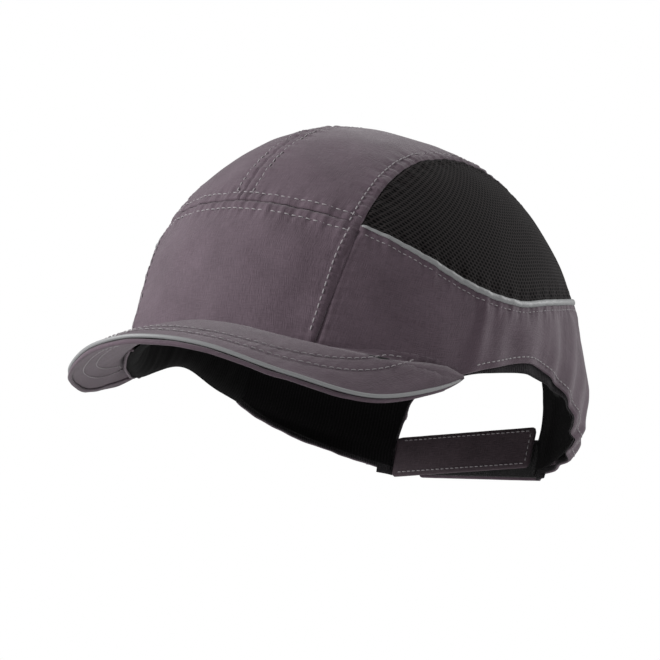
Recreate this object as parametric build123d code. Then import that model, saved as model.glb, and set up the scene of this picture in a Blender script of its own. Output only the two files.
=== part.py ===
from build123d import *
import os
from functools import lru_cache
from math import cos, radians, sin, sqrt

os.makedirs("parts", exist_ok=True)

# A short-brim bump cap: fabric cap, moulded impact shell and foam pads, strap closure behind.
# The cap is drawn level, about the plane of the head band, in a round frame where its plan is a
# circle. It is stretched to its oval length at the end, then turned by PITCH, as it sits on a head. Front is -Y, the wearer's left is +X, up is +Z. Millimetres.

# ---------------------------------------------------------------- driving dimensions
PITCH = 22.0              # front of the cap raised above its back, as worn

HALF_WIDTH = 90.0         # head band, across
HALF_LENGTH = 104.4       # head band, front to back
CROWN_SHIFT = -3.7        # crown centre, from the head opening's centre
CROWN_HEIGHT = 88.0       # above the head band
SPREAD_POWER = 2.72       # crown profile: spread**SPREAD_POWER + rise**RISE_POWER = 1
RISE_POWER = 1.55
PROFILE_STEPS = 8
STRETCH = HALF_LENGTH / HALF_WIDTH
SKIRT_FOOT = -60.0        # the wall is drawn down to here, then trimmed
BEYOND = 140.0            # past the cap on every side

FABRIC = 0.8              # outer fabric, with its backing
PIPING_WIDTH = 2.8
PIPING_HEIGHT = 1.3
BINDING = 0.7             # edge tape thickness
BINDING_WIDTH = 7.0
TAPE = 0.6                # seam tape thickness
TAPE_HALF = 5.0
SHELL_INSET = 2.4
SHELL_THICKNESS = 2.2
PAD_INSET = 4.9
PAD_THICKNESS = 5.0
CROWN_PAD_Y = -4.0        # clear of the rear pad
SWEATBAND_INSET = 5.0
SWEATBAND_THICKNESS = 2.0
SWEATBAND_WIDTH = 27.0
LINING_INSET = 1.7
LINING_THICKNESS = 0.6

# Lower edge of the wall in side view (y, z): behind the brim, up over the ear, back to the tail.
HEM = [(-140, -36), (-106, -35), (-80, -37), (-54, -33), (-32, -20), (-10, -9.2),
       (14, -9.6), (40, -15), (76, -19.5), (140, -26)]
# Seam under the side piping in side view: the mesh is above it, the side panel below it.
PIPING_SEAM = [(-140, 27), (-88, 18.5), (-66, 12.5), (-42, 8.5), (-24, 11.2), (-2, 21),
               (30, 35.2), (78, 54.8), (140, 80)]
# Lower edge of the impact shell in side view.
SHELL_EDGE = [(-140, -16), (-100, -16), (-60, -13), (-20, 1), (10, 5), (44, 18), (74, 37),
              (96, 45), (140, 50)]
BACK_JOIN = 24.0          # y where the sweatband gives way to the tail linings

# Side seams of the centre strip in front view (x, z), straight between the points.
STRIP_SIDE = [(45.0, -60), (50.0, 20), (48.2, 62), (48.0, 140)]
FRONT_SEAM_Z = 23.5       # horizontal seam at the centre line
FRONT_SEAM_DROP = 3.0     # lower at the strip's sides
FRONT_SEAM_TILT = 2.6     # a sewn cap is never even: right side up, left side down

ARCH_HALF = 38.0          # rear arch, half its width at the strap
ARCH_SHOULDER = (36.4, 13.0)
ARCH_TOP = 31.0

# Brim: outer edge x = BRIM_HALF sin t, y = BRIM_BACK - BRIM_REACH cos(t)**BRIM_POWER.
BRIM_HALF = 84.0
BRIM_BACK = -41.6
BRIM_REACH = 101.5
BRIM_POWER = 1.29
BRIM_EDGE_Z = [(0, -51.4), (20, -52.2), (40, -55.2), (60, -52.6), (75, -41.1), (90, -27.2)]
BRIM_SEAM_Z = [(0, -30.0), (12, -31.0), (25, -32.8), (45, -33.0), (60, -31.0), (75, -28.4), (90, -27.0)]
BRIM_END_ANGLE = 86.0
BRIM_PIPING_END = 80.5    # the piping runs into the side seam before the covers do
BRIM_STATIONS = 16
BRIM_ROOT_HALF = 76.0     # the sections start on this inner curve, inside the wall
BRIM_ROOT_BACK = -36.0
BRIM_ROOT_REACH = 64.0
BRIM_COVER = 0.8
BRIM_BOARD = 2.2
BRIM_PIPING = 2.4
BRIM_PIPING_SEAT = 0.5    # it stands this far above the under cover
BRIM_UNDER_MARGIN = 0.3
BRIM_BOARD_MARGIN = 2.8   # the board stops this far inside the edge

STRAP_WIDTH = 19.0
STRAP_TOP = -1.0
STRAP_LEFT = 33.0         # free end
STRAP_ROOT = -37.6        # sewn end, at the right tail
STRAP_THICKNESS = 1.6
STRAP_FACE_Y = 87.4       # inner face
PATCH_THICKNESS = 1.0
PATCH_MARGIN = 2.0
CLOSURE_GAP = 0.35        # between hook and loop
TAB_TIP = -27.0
TAB_ROOT = 38.4
TAB_TOP = -3.5
TAB_THICKNESS = 1.5
END_RADIUS = 6.0


# ---------------------------------------------------------------- shared geometry
def smooth_through(keys, at):
    """Value of a smooth curve through (place, value) keys."""
    slopes = []
    for i in range(len(keys)):
        before = keys[max(i - 1, 0)]
        after = keys[min(i + 1, len(keys) - 1)]
        slopes.append((after[1] - before[1]) / (after[0] - before[0]))
    slopes[0] = 0.0
    i = 0
    while i < len(keys) - 2 and at > keys[i + 1][0]:
        i += 1
    (x0, z0), (x1, z1) = keys[i], keys[i + 1]
    span = x1 - x0
    u = (at - x0) / span
    return (z0 * (2 * u**3 - 3 * u**2 + 1) + z1 * (3 * u**2 - 2 * u**3)
            + slopes[i] * span * (u**3 - 2 * u**2 + u) + slopes[i + 1] * span * (u**3 - u**2))


def flat_y(y):
    """Place of a true y in the round frame, where the cap's plan is drawn as a circle."""
    return (y - CROWN_SHIFT) / STRETCH


def profile(inset):
    """Half profile of the crown moved inward by inset, from the wall up to the top."""
    points = []
    for i in range(PROFILE_STEPS):
        turn = radians(90 * i / PROFILE_STEPS)
        spread = cos(turn) ** (2 / SPREAD_POWER)
        rise = sin(turn) ** (2 / RISE_POWER)
        points.append(((HALF_WIDTH - inset) * spread, (CROWN_HEIGHT - inset) * rise))
    points.append((0, CROWN_HEIGHT - inset))
    return Spline(*points, tangents=[(0, 1), (-1, 0)])


@lru_cache(maxsize=None)
def layer(inset, thickness):
    """Skin of the cap between inset and inset + thickness, open below."""
    outer = profile(inset)
    inner = profile(inset + thickness)
    foot = Polyline(inner @ 0, ((inner @ 0).X, SKIRT_FOOT), ((outer @ 0).X, SKIRT_FOOT), outer @ 0)
    return revolve(Plane.XZ * make_face([outer, Line(outer @ 1, inner @ 1), inner, foot]), Axis.Z)


def wall_core():
    """Closed upright cylinder that fills the wall, to trim the brim against it."""
    return Pos(0, 0, SKIRT_FOOT) * extrude(Circle(HALF_WIDTH), amount=-SKIRT_FOOT)


def moved(points, rise):
    """Side-view curve (y, z) in the round frame, raised by rise."""
    return [(flat_y(y), z + rise) for y, z in points]


def above(points, rise=0.0):
    """Prism along X of everything above a side-view curve raised by rise."""
    points = moved(points, rise)
    first, last = points[0], points[-1]
    frame = Polyline(last, (last[0], BEYOND), (first[0], BEYOND), first)
    face = Plane.YZ * make_face([Spline(*points), frame])
    return extrude(face, amount=BEYOND, both=True)


def between(points, low, high):
    """Prism along X of the band around a side-view curve, from low to high."""
    bottom = moved(points, low)
    top = moved(points, high)
    edges = [Spline(*bottom), Line(bottom[-1], top[-1]), Spline(*top), Line(top[0], bottom[0])]
    return extrude(Plane.YZ * make_face(edges), amount=BEYOND, both=True)


def block(x_range, y_range, z_range=(-BEYOND, BEYOND)):
    """Box between true places on each axis, in the round frame."""
    y_range = [flat_y(y) for y in y_range]
    size = [high - low for low, high in (x_range, y_range, z_range)]
    middle = [(high + low) / 2 for low, high in (x_range, y_range, z_range)]
    return Pos(*middle) * Box(*size)


LEFT = block((0, BEYOND), (-BEYOND, BEYOND))
RIGHT = block((-BEYOND, 0), (-BEYOND, BEYOND))
FRONT = block((-BEYOND, BEYOND), (-BEYOND, -20))
REAR = block((-BEYOND, BEYOND), (20, BEYOND))


@lru_cache(maxsize=None)
def strip(grow=0.0):
    """Prism along Y of the centre strip: front panel and the two crown panels."""
    right = [(x + grow, z) for x, z in STRIP_SIDE]
    left = [(-x, z) for x, z in reversed(right)]
    face = Plane.XZ * make_face(Polyline(*right, *left, close=True))
    return extrude(face, amount=BEYOND, both=True)


@lru_cache(maxsize=None)
def below_front_seam(rise=0.0):
    """Prism along Y of everything below the horizontal front seam."""
    reach = 60.0
    fall = FRONT_SEAM_DROP * (reach / STRIP_SIDE[1][0]) ** 2
    lean = FRONT_SEAM_TILT * reach / STRIP_SIDE[1][0]
    ends = [(side * reach, FRONT_SEAM_Z + rise - fall - side * lean) for side in (-1, 1)]
    seam = ThreePointArc(ends[0], (0, FRONT_SEAM_Z + rise), ends[1])
    frame = Polyline(ends[1], (reach, -BEYOND), (-reach, -BEYOND), ends[0])
    return extrude(Plane.XZ * make_face([seam, frame]), amount=BEYOND, both=True)


@lru_cache(maxsize=None)
def arch(grow=0.0):
    """Prism along Y of the opening above the closure strap."""
    x, z = ARCH_SHOULDER
    foot = (ARCH_HALF + grow, STRAP_TOP)
    shoulder = (x + grow * 0.8, z + grow * 0.6)
    top = (0, ARCH_TOP + grow)
    knee = (x * 0.62, z + (ARCH_TOP - z) * 0.72 + grow)
    half = [foot, shoulder, knee, top, (-knee[0], knee[1]), (-shoulder[0], shoulder[1]), (-foot[0], foot[1])]
    edge = Spline(*half)
    frame = Polyline(half[-1], (-foot[0], SKIRT_FOOT), (foot[0], SKIRT_FOOT), half[0])
    face = Plane.XZ * make_face([edge, frame])
    return extrude(face, amount=-BEYOND)


@lru_cache(maxsize=None)
def wall_region():
    """Everything of the cap's wall: above the hem, clear of the rear arch."""
    return above(HEM) - arch()


# ---------------------------------------------------------------- fabric panels
def front_panel():
    return layer(0, FABRIC) & strip() & below_front_seam() & above(HEM) & FRONT


def crown_panel(side):
    return (layer(0, FABRIC) & strip() & above(PIPING_SEAM) & side) - below_front_seam()


def mesh_panel(side):
    return (layer(0, FABRIC) & above(PIPING_SEAM) & side) - strip()


def side_panel(side):
    wall = layer(0, FABRIC) & wall_region() & side
    return wall - above(PIPING_SEAM) - (strip() & FRONT)


def side_piping(side):
    """Reflective piping that stands proud along the seam of mesh and side panel."""
    proud = layer(-PIPING_HEIGHT, PIPING_HEIGHT) & between(PIPING_SEAM, -PIPING_WIDTH / 2, PIPING_WIDTH / 2)
    return (proud & side) - (strip() & FRONT)


def hem_binding(side):
    """Tape inside the lower edge, from the brim's end to the tail."""
    ring = layer(FABRIC, BINDING) & between(HEM, 0, BINDING_WIDTH) & side
    return ring & block((-BEYOND, BEYOND), (-38, BEYOND)) - arch()


def arch_binding():
    """Tape inside the rear arch."""
    ring = layer(FABRIC, BINDING) & (arch(BINDING_WIDTH) - arch()) & REAR
    return (ring & above(HEM)) - between(HEM, 0, BINDING_WIDTH + 0.2)


def tail_lining(side):
    region = (wall_region() & REAR & side) - above(SHELL_EDGE, -2)
    return layer(LINING_INSET, LINING_THICKNESS) & region


# ---------------------------------------------------------------- seam tapes
def centre_seam_tape():
    strip_of_tape = block((-TAPE_HALF, TAPE_HALF), (-BEYOND, BEYOND))
    tape = layer(FABRIC, TAPE) & strip_of_tape & above(PIPING_SEAM, 1)
    return tape - below_front_seam(TAPE_HALF + 0.2)


def front_seam_tape():
    band = below_front_seam(TAPE_HALF) - below_front_seam(-TAPE_HALF)
    return layer(FABRIC, TAPE) & band & strip(-TAPE_HALF - 0.2) & FRONT


def strip_seam_tape(side):
    band = strip(TAPE_HALF) - strip(-TAPE_HALF)
    region = band & side & above(PIPING_SEAM, 1)
    lower = band & side & FRONT & above(HEM, 6)
    return layer(FABRIC, TAPE) & (region + lower)


# ---------------------------------------------------------------- impact shell and pads
def side_slots():
    """Vent slots through both sides of the shell, behind the mesh."""
    slots = []
    for row, (z, count, length) in enumerate([(36, 5, 15), (56, 4, 13)]):
        for i in range(count):
            y = 2 + (i - (count - 1) / 2) * 17
            shape = Plane.YZ * Pos(y, z + 0.25 * y * (1 - row)) * SlotOverall(length, 6, rotation=90)
            slots.append(extrude(shape, amount=BEYOND, both=True))
    return slots


def top_slots():
    """Vent slots through the top of the shell, in two rows."""
    slots = []
    for x in (-20, 20):
        for i in range(4):
            y = (i - 1.5) * 23
            shape = Pos(x, y) * SlotOverall(17, 6, rotation=90)
            slots.append(extrude(shape, amount=BEYOND))
    return slots


def impact_shell():
    shell = layer(SHELL_INSET, SHELL_THICKNESS) & above(SHELL_EDGE)
    return shell - side_slots() - top_slots()


def crown_pad():
    """Foam pad under the top of the shell, with round holes."""
    outline = extrude(Pos(0, CROWN_PAD_Y) * RectangleRounded(92, 88, 26), amount=BEYOND)
    holes = []
    for row in range(5):
        for column in range(3 + row % 2):
            x = (column - (2 + row % 2) / 2) * 22
            y = (row - 2) * 16
            holes.append(extrude(Pos(x, y) * Circle(4), amount=BEYOND))
    return (layer(PAD_INSET, PAD_THICKNESS) & outline) - holes


def front_pad():
    outline = Plane.XZ * Pos(0, 10) * RectangleRounded(88, 26, 8)
    return layer(PAD_INSET, PAD_THICKNESS) & extrude(outline, amount=BEYOND)


def side_pad(side):
    band = between(SHELL_EDGE, 17, 39) & block((-BEYOND, BEYOND), (-46, 40))
    return layer(PAD_INSET, PAD_THICKNESS) & band & side


def rear_pad():
    outline = Plane.XZ * Pos(0, 52) * RectangleRounded(66, 14, 6)
    return layer(PAD_INSET, PAD_THICKNESS) & extrude(outline, amount=-BEYOND)


def sweatband():
    """Padded band round the front and sides, up to the tail linings."""
    band = between(HEM, 1.0, SWEATBAND_WIDTH) & block((-BEYOND, BEYOND), (-BEYOND, BACK_JOIN))
    return layer(SWEATBAND_INSET, SWEATBAND_THICKNESS) & band


# ---------------------------------------------------------------- brim
def brim_section(turn):
    """Start, wall and edge points of one upright section of the brim, in plan, with heights."""
    angle = radians(turn)
    size = abs(turn)
    edge = Vector(BRIM_HALF * sin(angle), BRIM_BACK - BRIM_REACH * cos(angle) ** BRIM_POWER)
    root = Vector(BRIM_ROOT_HALF * sin(angle), BRIM_ROOT_BACK - BRIM_ROOT_REACH * cos(angle))
    edge_z = smooth_through(BRIM_EDGE_Z, size)
    seam_z = smooth_through(BRIM_SEAM_Z, size) - BRIM_BOARD / 2 - BRIM_COVER
    along = edge - root
    start = Vector(root.X / HALF_WIDTH, (root.Y - CROWN_SHIFT) / HALF_LENGTH)
    step = Vector(along.X / HALF_WIDTH, along.Y / HALF_LENGTH)
    a, b, c = step.dot(step), 2 * start.dot(step), start.dot(start) - 1
    at_wall = (-b + sqrt(b * b - 4 * a * c)) / (2 * a)
    slope = (edge_z - seam_z) / ((1 - at_wall) * along.length + 4)
    return root, along.normalized(), along.length, edge_z, slope


def brim_solid(width, margin, low, high, end_angle=BRIM_END_ANGLE):
    """Solid along the brim: width across (None: from the wall), margin back from its edge."""
    sections = []
    for i in range(BRIM_STATIONS + 1):
        turn = end_angle * (2 * i / BRIM_STATIONS - 1)
        root, out, length, edge_z, slope = brim_section(turn)
        outer = length - margin
        inner = 0 if width is None else outer - width
        corners = []
        for reach, lift in ((inner, low), (outer, low), (outer, high), (inner, high)):
            place = root + out * reach
            corners.append((place.X, flat_y(place.Y), edge_z - slope * (length - reach) + lift))
        sections.append(Wire.make_polygon(corners, close=True))
    return Solid.make_loft(sections)


def brim_board():
    half = BRIM_BOARD / 2
    return brim_solid(None, BRIM_BOARD_MARGIN, -half, half) - wall_core()


def brim_top_cover():
    half = BRIM_BOARD / 2
    return brim_solid(None, BRIM_PIPING, half, half + BRIM_COVER) - wall_core()


def brim_under_cover():
    half = BRIM_BOARD / 2
    return brim_solid(None, BRIM_UNDER_MARGIN, -half - BRIM_COVER, -half) - wall_core()


def brim_piping():
    half = BRIM_BOARD / 2
    return brim_solid(BRIM_PIPING, 0, BRIM_PIPING_SEAT - half, half + BRIM_COVER, BRIM_PIPING_END)


# ---------------------------------------------------------------- closure
def band_piece(x_range, top, width, y_range, round_left, round_right):
    """Flat upright band with rounded corners at its free end."""
    length = x_range[1] - x_range[0]
    sketch = Pos((x_range[0] + x_range[1]) / 2, top - width / 2) * Rectangle(length, width)
    corners = []
    if round_left:
        corners += sketch.vertices().group_by(Axis.X)[-1]
    if round_right:
        corners += sketch.vertices().group_by(Axis.X)[0]
    sketch = fillet(corners, min(END_RADIUS, width / 2 - 0.5))
    return extrude(Plane.XZ.offset(-y_range[0]) * sketch, amount=-(y_range[1] - y_range[0]))


STRAP_OUTER_Y = STRAP_FACE_Y + STRAP_THICKNESS
HOOK_OUTER_Y = STRAP_OUTER_Y + PATCH_THICKNESS
LOOP_INNER_Y = HOOK_OUTER_Y + CLOSURE_GAP
TAB_INNER_Y = LOOP_INNER_Y + PATCH_THICKNESS


def closure_strap():
    return band_piece((STRAP_ROOT, STRAP_LEFT), STRAP_TOP, STRAP_WIDTH,
                      (STRAP_FACE_Y, STRAP_OUTER_Y), True, False)


def strap_hook_patch():
    return band_piece((TAB_TIP + 4, STRAP_LEFT - PATCH_MARGIN), STRAP_TOP - PATCH_MARGIN,
                      STRAP_WIDTH - 2 * PATCH_MARGIN, (STRAP_OUTER_Y, HOOK_OUTER_Y), True, False)


def closure_tab():
    return band_piece((TAB_TIP, TAB_ROOT), TAB_TOP, STRAP_WIDTH,
                      (TAB_INNER_Y, TAB_INNER_Y + TAB_THICKNESS), False, True)


def tab_loop_patch():
    return band_piece((TAB_TIP + PATCH_MARGIN, TAB_ROOT - 1), TAB_TOP - PATCH_MARGIN / 2,
                      STRAP_WIDTH - PATCH_MARGIN, (LOOP_INNER_Y, TAB_INNER_Y), False, True)


# ---------------------------------------------------------------- all nodes
def nodes():
    made = {
        "front_panel": front_panel(),
        "brim_board": brim_board(),
        "brim_top_cover": brim_top_cover(),
        "brim_under_cover": brim_under_cover(),
        "brim_piping": brim_piping(),
        "arch_binding": arch_binding(),
        "centre_seam_tape": centre_seam_tape(),
        "front_seam_tape": front_seam_tape(),
        "impact_shell": impact_shell(),
        "crown_pad": crown_pad(),
        "front_pad": front_pad(),
        "rear_pad": rear_pad(),
        "sweatband": sweatband(),
    }
    paired = {"crown_panel": crown_panel, "mesh_panel": mesh_panel, "side_panel": side_panel,
              "side_piping": side_piping, "hem_binding": hem_binding, "tail_lining": tail_lining,
              "strip_seam_tape": strip_seam_tape, "side_pad": side_pad}
    for name, make in paired.items():
        made[name + "_left"] = make(LEFT)
        made[name + "_right"] = make(RIGHT)
    return made


CLOSURE = {
    "closure_strap": closure_strap(),
    "strap_hook_patch": strap_hook_patch(),
    "closure_tab": closure_tab(),
    "tab_loop_patch": tab_loop_patch(),
}

for node, shape in nodes().items():
    oval = Pos(0, CROWN_SHIFT, 0) * scale(shape, by=(1, STRETCH, 1))
    export_step(Rot(-PITCH, 0, 0) * oval, "parts/" + node + ".step")

for node, shape in CLOSURE.items():
    export_step(Rot(-PITCH, 0, 0) * shape, "parts/" + node + ".step")
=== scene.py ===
import math

import bmesh
import bpy
import numpy as np
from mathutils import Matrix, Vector, noise


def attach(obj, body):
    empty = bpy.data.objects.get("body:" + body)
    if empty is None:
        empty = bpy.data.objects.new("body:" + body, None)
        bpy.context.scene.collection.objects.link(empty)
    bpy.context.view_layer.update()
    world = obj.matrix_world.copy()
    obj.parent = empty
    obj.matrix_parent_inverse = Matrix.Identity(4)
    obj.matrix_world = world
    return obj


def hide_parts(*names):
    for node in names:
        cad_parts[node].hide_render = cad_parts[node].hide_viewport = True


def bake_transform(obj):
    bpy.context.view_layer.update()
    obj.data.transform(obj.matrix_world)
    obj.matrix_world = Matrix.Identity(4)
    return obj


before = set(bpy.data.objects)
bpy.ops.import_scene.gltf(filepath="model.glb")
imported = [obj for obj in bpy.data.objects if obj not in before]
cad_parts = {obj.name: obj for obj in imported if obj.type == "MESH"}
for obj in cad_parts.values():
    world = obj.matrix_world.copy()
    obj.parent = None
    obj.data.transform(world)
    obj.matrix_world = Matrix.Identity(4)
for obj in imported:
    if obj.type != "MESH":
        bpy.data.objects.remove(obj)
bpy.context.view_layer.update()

# The cap is drawn level, in millimetres, about the plane of its head band: front -Y, wearer's left +X.
# worn() turns it by PITCH, as it sits on a head, and gives metres.
PITCH = math.radians(22.0)
HALF_WIDTH = 90.0
HALF_LENGTH = 104.4
STRETCH = HALF_LENGTH / HALF_WIDTH
CROWN_SHIFT = -3.7
CROWN_HEIGHT = 88.0
SPREAD_POWER = 2.72
RISE_POWER = 1.55

HEM = [(-140, -36), (-106, -35), (-80, -37), (-54, -33), (-32, -20), (-10, -9.2),
       (14, -9.6), (40, -15), (76, -19.5), (140, -26)]
PIPING_SEAM = [(-140, 27), (-88, 18.5), (-66, 12.5), (-42, 8.5), (-24, 11.2), (-2, 21),
               (30, 35.2), (78, 54.8), (140, 80)]
SHELL_EDGE = [(-140, -16), (-100, -16), (-60, -13), (-20, 1), (10, 5), (44, 18), (74, 37),
              (96, 45), (140, 50)]
STRIP_SIDE = [(-60, 45.0), (20, 50.0), (62, 48.2), (140, 48.0)]
FRONT_SEAM_Z = 23.5
FRONT_SEAM_DROP = 3.0
FRONT_SEAM_TILT = 2.6
SEAM_STRIP_Z = 20.0  # height where the centre strip's width is read for the front seam
ARCH = {-1: [(39.6, -23.0), (40.6, -12.0), (40.4, -1.0), (37.6, 13.0), (23.4, 26.0), (0.0, 31.0)],
        1: [(37.0, -23.0), (37.2, -12.0), (38.4, -1.0), (40.6, 13.0), (26.0, 27.0), (0.0, 31.5)]}

BRIM_HALF = 84.0
BRIM_BACK = -41.6
BRIM_REACH = 101.5
BRIM_POWER = 1.29
BRIM_EDGE_Z = [(0, -51.4), (20, -52.2), (40, -55.2), (60, -52.6), (75, -41.1), (90, -27.2)]
BRIM_SEAM_Z = [(0, -30.0), (12, -31.0), (25, -32.8), (45, -33.0), (60, -31.0), (75, -28.4), (90, -27.0)]
BRIM_ROOT = (76.0, -36.0, 64.0)
BRIM_HALF_THICK = 1.9
BRIM_BEND = [(-90, 0.6), (-75, 2.2), (-62, 3.0), (-50, 1.7), (-40, -0.9), (-28, -3.8), (-14, -3.2),
             (0, -1.8), (40, -0.9), (70, -0.6), (90, 0.3)]
BRIM_ROWS = [(6.5, 68.0), (12.0, 64.0)]
BRIM_END = 86.5  # turn where the covers run out beside the ears
BOARD_END = 60.0

FABRIC = 0.8
FRONT_HALF = 46.6  # half width of the front panel at the hem
BAND_END = 106.0  # turn where the sweatband ends
PAD_ROWS = 61
PAD_INSET = 5.0
STRAP_WIDTH = 19.0
STRAP_ROOT = -38.4
STRAP_CLIMB = 0.085
STRAP_Z = -14.4
STRAP_Y = 88.2
TAB_Z = -13.0
TAB_Y = 92.1
SIDES = ((1, "left"), (-1, "right"))

CAMERA_AZIMUTH = math.radians(35.85)
CAMERA_ELEVATION = math.radians(-0.52)
CAMERA_DISTANCE = 1.1
CAMERA_LENS = 142.1
CAMERA_SHIFT = (-0.0562, 0.0357)
SKY_LIGHT = 0.42
FLOOR_Z = -0.75


# ---------- the cap's surface
def worn(points):
    """Level millimetres to the frame's metres."""
    p = np.asarray(points, float)
    y = p[..., 1] * math.cos(PITCH) + p[..., 2] * math.sin(PITCH)
    z = p[..., 2] * math.cos(PITCH) - p[..., 1] * math.sin(PITCH)
    return np.stack([p[..., 0], y, z], -1) / 1000


def through(keys, at):
    """Smooth curve through (place, value) keys."""
    x, y = np.array(keys, float).T
    slope = np.gradient(y, x)
    i = np.clip(np.searchsorted(x, at) - 1, 0, len(x) - 2)
    span = x[i + 1] - x[i]
    u = (at - x[i]) / span
    return (y[i] * (2 * u**3 - 3 * u**2 + 1) + y[i + 1] * (3 * u**2 - 2 * u**3)
            + slope[i] * span * (u**3 - 2 * u**2 + u) + slope[i + 1] * span * (u**3 - u**2))


def strip_x(z):
    """Half width of the centre strip at a height."""
    heights, widths = np.array(STRIP_SIDE, float).T
    return np.interp(z, heights, widths)


def front_seam_z(x):
    share = x / strip_x(SEAM_STRIP_Z)
    return FRONT_SEAM_Z - FRONT_SEAM_DROP * share**2 - FRONT_SEAM_TILT * share


def spread(z, inset=0.0):
    rise = np.clip(z / (CROWN_HEIGHT - inset), 0, 1)
    return (1 - rise**RISE_POWER) ** (1 / SPREAD_POWER)


def furthest(outside, high):
    """Largest numbers up to high that aren't outside, by halving."""
    low = np.zeros_like(high)
    for _ in range(48):
        middle = (low + high) / 2
        beyond = outside(middle)
        high = np.where(beyond, middle, high)
        low = np.where(beyond, low, middle)
    return low


def project(p, inset=0.0):
    """Moves points onto the cap's surface: outward from the crown's centre, or level on the wall."""
    p = np.asarray(p, float)
    half = HALF_WIDTH - inset
    x = p[..., 0] / half
    y = (p[..., 1] - CROWN_SHIFT) / (half * STRETCH)
    z = np.clip(p[..., 2], 0, None) / (CROWN_HEIGHT - inset)
    radius = np.hypot(x, y) + 1e-9
    grow = furthest(lambda k: (radius * k) ** SPREAD_POWER + (z * k) ** RISE_POWER > 1,
                    np.full_like(radius, 400.0))
    lift = np.where(p[..., 2] > 0, p[..., 2] * grow, p[..., 2])
    return np.stack([p[..., 0] * grow, CROWN_SHIFT + (p[..., 1] - CROWN_SHIFT) * grow, lift], -1)


def outward(p):
    """Unit normal of the cap's surface near points."""
    x = p[..., 0] / HALF_WIDTH
    y = (p[..., 1] - CROWN_SHIFT) / HALF_LENGTH
    radius = np.hypot(x, y) + 1e-9
    slope = SPREAD_POWER * radius ** (SPREAD_POWER - 2)
    rise = np.clip(p[..., 2], 0, None) / CROWN_HEIGHT
    n = np.stack([slope * x / HALF_WIDTH, slope * y / HALF_LENGTH,
                  RISE_POWER * rise ** (RISE_POWER - 1) / CROWN_HEIGHT * (rise > 0)], -1)
    return n / (np.linalg.norm(n, axis=-1, keepdims=True) + 1e-12)


def at_turn(turn, z, inset=0.0):
    """Surface point by its angle round the crown, 0 in front and 90 at the wearer's left."""
    half = (HALF_WIDTH - inset) * spread(z, inset)
    a = np.radians(turn)
    return np.stack([half * np.sin(a), CROWN_SHIFT - half * STRETCH * np.cos(a), z + 0 * a], -1)


def on_curve(keys, turn, rise=0.0, inset=0.0):
    """Surface points at turns round the cap, on a side-view curve raised by rise."""
    z = np.zeros_like(turn)
    for _ in range(12):
        z = 0.5 * z + 0.5 * (through(keys, at_turn(turn, z, inset)[..., 1]) + rise)
    return at_turn(turn, z, inset)


def turn_at_x(x, z, rear=False):
    a = np.degrees(np.arcsin(np.clip(x / (HALF_WIDTH * spread(z)), -1, 1)))
    return 180 - a if rear else a


def section_point(x, lean, inset=0.0):
    """Surface point in the upright plane at x, where a ray at the lean angle leaves the crown."""
    a = np.radians(lean)
    half = HALF_WIDTH - inset

    def outside(r):
        level = np.hypot(x / half, r * np.cos(a) / (half * STRETCH))
        return level**SPREAD_POWER + (r * np.sin(a) / (CROWN_HEIGHT - inset)) ** RISE_POWER > 1

    r = furthest(outside, np.full_like(a, 200.0))
    return np.stack([x + 0 * a, CROWN_SHIFT - r * np.cos(a), r * np.sin(a)], -1)


def lengthwise(x_at, count, inset=0.0, front_rise=0.0):
    """Line over the crown at x = x_at(z), from the front seam to the band behind."""
    def place(lean):
        p = section_point(x_at(np.full_like(lean, 40.0)), lean, inset)
        for _ in range(4):
            p = section_point(x_at(p[..., 2]), lean, inset)
        return p

    def crossing(low, high, is_high):
        for _ in range(30):
            middle = (low + high) / 2
            if is_high(place(np.array([middle]))[0]):
                high = middle
            else:
                low = middle
        return (low + high) / 2

    first = crossing(1.0, 60.0, lambda p: p[2] > front_seam_z(p[0]) + front_rise)
    last = crossing(100.0, 179.0, lambda p: p[2] < through(PIPING_SEAM, p[1]))
    return place(np.linspace(first, last, count))


# ---------- soft relief of the fabric
def wobble(s, seed):
    """Uneven wave along a seam, about -1 to 1."""
    return (np.sin(s + seed) + 0.7 * np.sin(2.3 * s + 2.1 * seed) + 0.5 * np.sin(0.43 * s + seed)) / 1.6


def bump(distance, width):
    return np.exp(-((distance / width) ** 2))


def noise_at(p, size, seed=0.0):
    """Smooth noise at points, with features of about size millimetres on each axis."""
    scaled = p / np.asarray(size, float) + seed
    flat = scaled.reshape(-1, 3)
    values = [noise.noise(Vector(q)) for q in flat]
    return np.array(values).reshape(scaled.shape[:-1])


def seam_relief(distance, along, seed, pucker=0.4, groove=0.5, ridge=0.3):
    """Groove on a seam, the ridge of its allowance and the puckers that topstitching leaves."""
    d = np.abs(distance)
    waves = wobble(along * 2 * np.pi / 7.5, seed) * bump(d - 3.0, 4.5)
    return ridge * bump(d, 4.5) - groove * bump(d, 0.9) - 0.15 * bump(d - 4.0, 0.7) + pucker * waves


def turn_of(p):
    """Angle of points round the crown, in degrees from the front."""
    return np.degrees(np.arctan2(p[..., 0] / HALF_WIDTH, -(p[..., 1] - CROWN_SHIFT) / HALF_LENGTH))


def ramp_up(value, start, stop):
    return np.clip((value - start) / (stop - start), 0, 1)


def flare(p):
    """How far the soft tails stand out behind the ears, clear of the arch."""
    z = p[..., 2]
    below = 2.7 * ramp_up(-z, -30, -6) + 0.8 * bump(z + 13, 4) - 3.6 * ramp_up(-z, 11, 21)
    return below * ramp_up(p[..., 1], 10, 50) * ramp_up(np.abs(p[..., 0]), 42, 62)


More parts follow.
